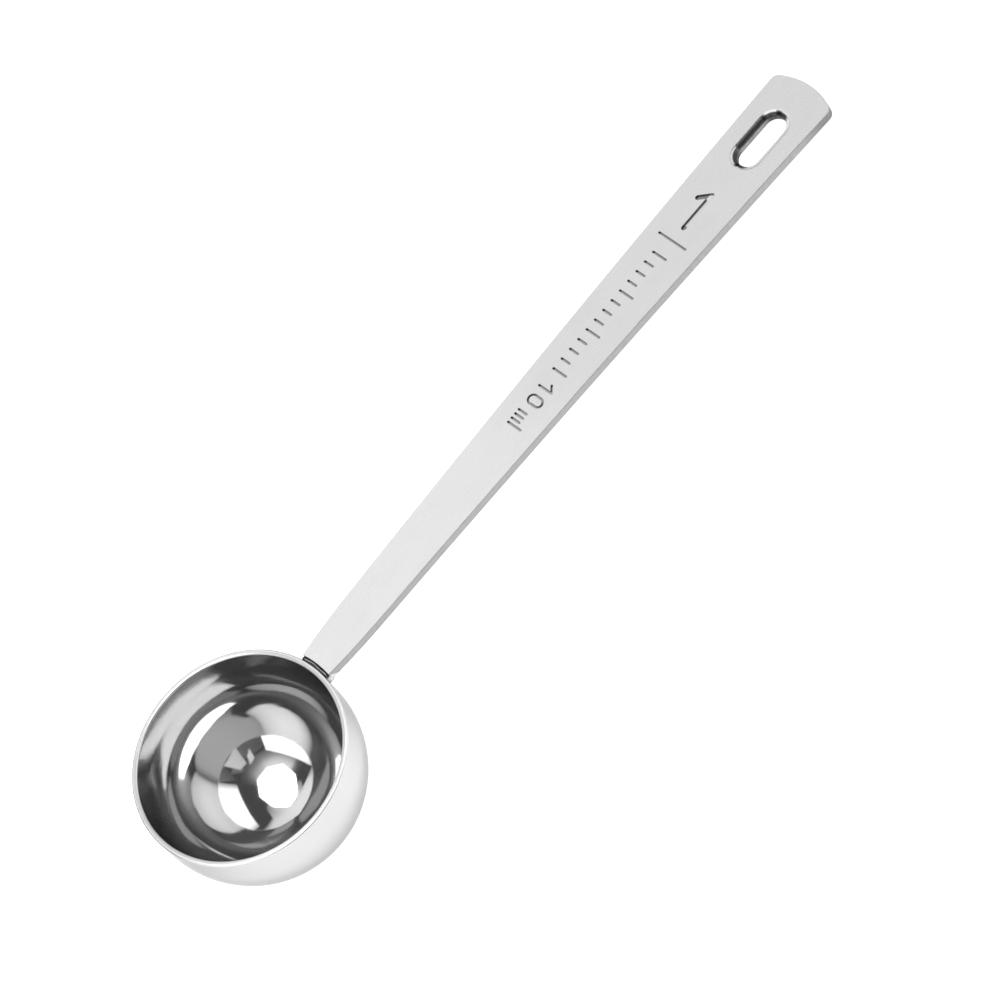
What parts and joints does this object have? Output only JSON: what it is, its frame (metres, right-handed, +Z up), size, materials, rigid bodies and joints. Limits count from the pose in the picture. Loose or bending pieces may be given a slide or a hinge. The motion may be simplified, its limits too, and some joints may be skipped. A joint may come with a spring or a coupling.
{
  "type": "measuring spoon",
  "caption": "Long-handled measuring spoon: a deep round steel bowl and a tapered flat handle, butt-welded at the rim, with a hanging slot, stamped plain figures and a tick scale.",
  "frame": {"origin": "on the surface the spoon lies on, under the middle of its box", "axes": "+X from the bowl to the handle's free end, +Z up as the spoon lies on its bowl and handle tip, +Y to the left of the handle"},
  "size_m": [0.1348, 0.0314, 0.0222],
  "materials": {
    "bowl_steel": "mirror polished, with fine turning marks",
    "handle_steel": "satin polished along its length",
    "weld_steel": "rippled weld metal, lightly darkened"
  },
  "bodies": {
    "root": {"bowl": "bowl_steel", "handle": "handle_steel", "top_weld": "weld_steel", "under_weld": "weld_steel"}
  },
  "joints": []
}
